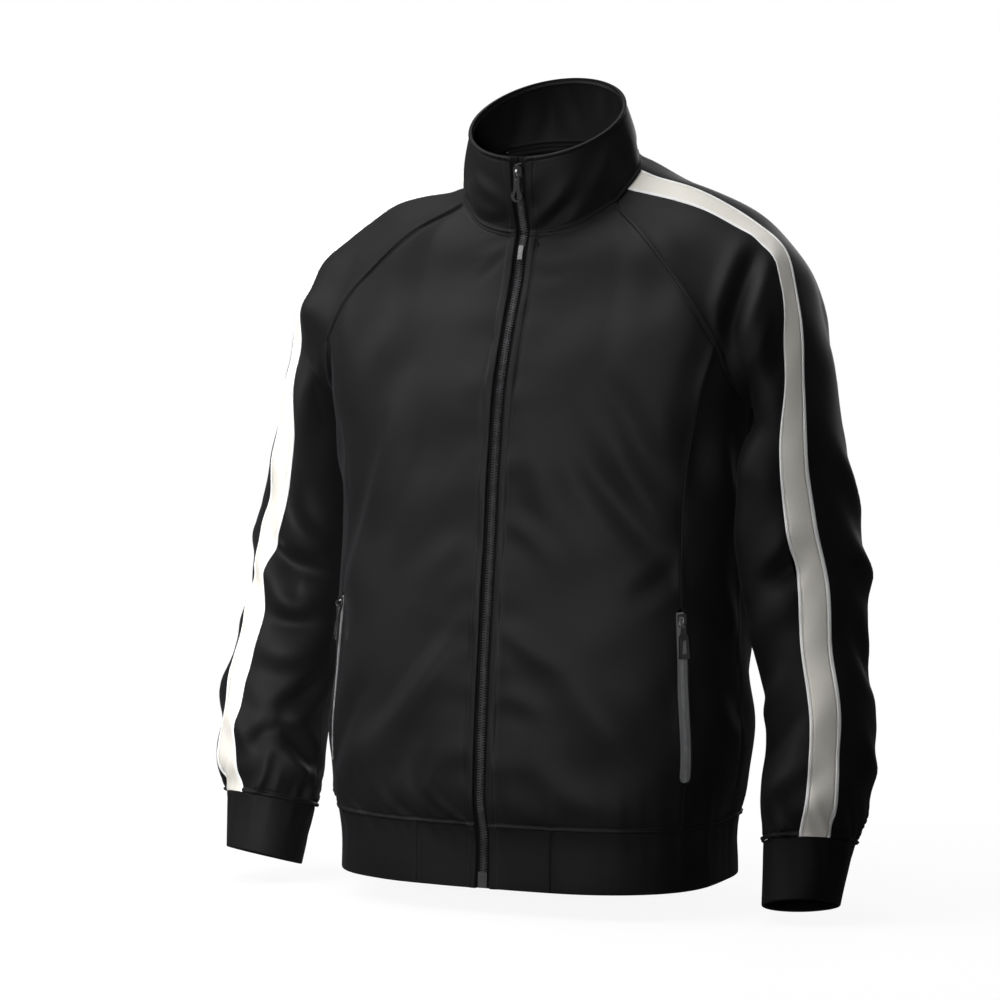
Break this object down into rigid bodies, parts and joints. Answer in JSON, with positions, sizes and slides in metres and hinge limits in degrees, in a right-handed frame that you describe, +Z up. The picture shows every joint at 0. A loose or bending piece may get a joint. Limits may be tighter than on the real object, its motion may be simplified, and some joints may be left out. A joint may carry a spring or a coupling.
{
  "type": "track jacket",
  "caption": "Hollow, worn-shape track jacket with raglan sleeves, a stand collar, a full front zip, shoulder-to-cuff stripes, side zip pockets and banded hem and cuffs.",
  "frame": {"origin": "where the neck and shoulders hold the jacket: inside the neck opening, on the line between the raglan seams", "axes": "+Z up, from the hem to the collar; -Y forward, out of the zipped front; +X to the wearer's left"},
  "size_m": [0.67, 0.2691, 0.7739],
  "materials": {
    "cloth": "smooth matte black",
    "rib": "matte black band",
    "stripe": "matte cream",
    "piping": "matte white",
    "tape": "matte black",
    "chain": "satin dark grey",
    "grey_zip": "satin grey",
    "metal": "gunmetal"
  },
  "bodies": {
    "jacket": {"front_left": "cloth", "front_right": "cloth", "side_left": "cloth", "side_right": "cloth", "back": "cloth", "sleeve_front_left": "cloth", "sleeve_front_right": "cloth", "sleeve_back_upper_left": "cloth", "sleeve_back_lower_left": "cloth", "sleeve_back_upper_right": "cloth", "sleeve_back_lower_right": "cloth", "stripe_left": "stripe", "stripe_right": "stripe", "piping_front_left": "piping", "piping_front_right": "piping", "piping_back_left": "piping", "piping_back_right": "piping", "collar": "cloth", "cuff_left": "rib", "cuff_right": "rib", "hem_band": "rib", "hem_tab_left": "rib", "hem_tab_right": "rib", "zip_tape_left": "tape", "zip_tape_right": "tape", "zip_chain": "chain", "zip_box": "metal", "zip_clip": "metal", "zip_slider": "metal", "pocket_tape_left": "grey_zip", "pocket_tape_right": "grey_zip", "pocket_coil_left": "grey_zip", "pocket_coil_right": "grey_zip", "pocket_slider_left": "metal", "pocket_slider_right": "metal"},
    "zip_pull_tab": {"zip_pull": "metal"},
    "pocket_pull_left_tab": {"pocket_pull_left": "metal"},
    "pocket_pull_right_tab": {"pocket_pull_right": "metal"}
  },
  "joints": [
    {"name": "zip_pull_hinge", "type": "hinge", "parent": "jacket", "child": "zip_pull_tab", "pos_m": [0, -0.07723, 0.01554], "axis": [-1, 0, 0], "range_deg": [0, 140]},
    {"name": "pocket_pull_left_hinge", "type": "hinge", "parent": "jacket", "child": "pocket_pull_left_tab", "pos_m": [0.17796, -0.09705, -0.39328], "axis": [-0.6357, -0.7717, 0.0194], "range_deg": [0, 140]},
    {"name": "pocket_pull_right_hinge", "type": "hinge", "parent": "jacket", "child": "pocket_pull_right_tab", "pos_m": [-0.17796, -0.09705, -0.39328], "axis": [-0.6362, 0.7713, -0.0193], "range_deg": [0, 140]}
  ]
}
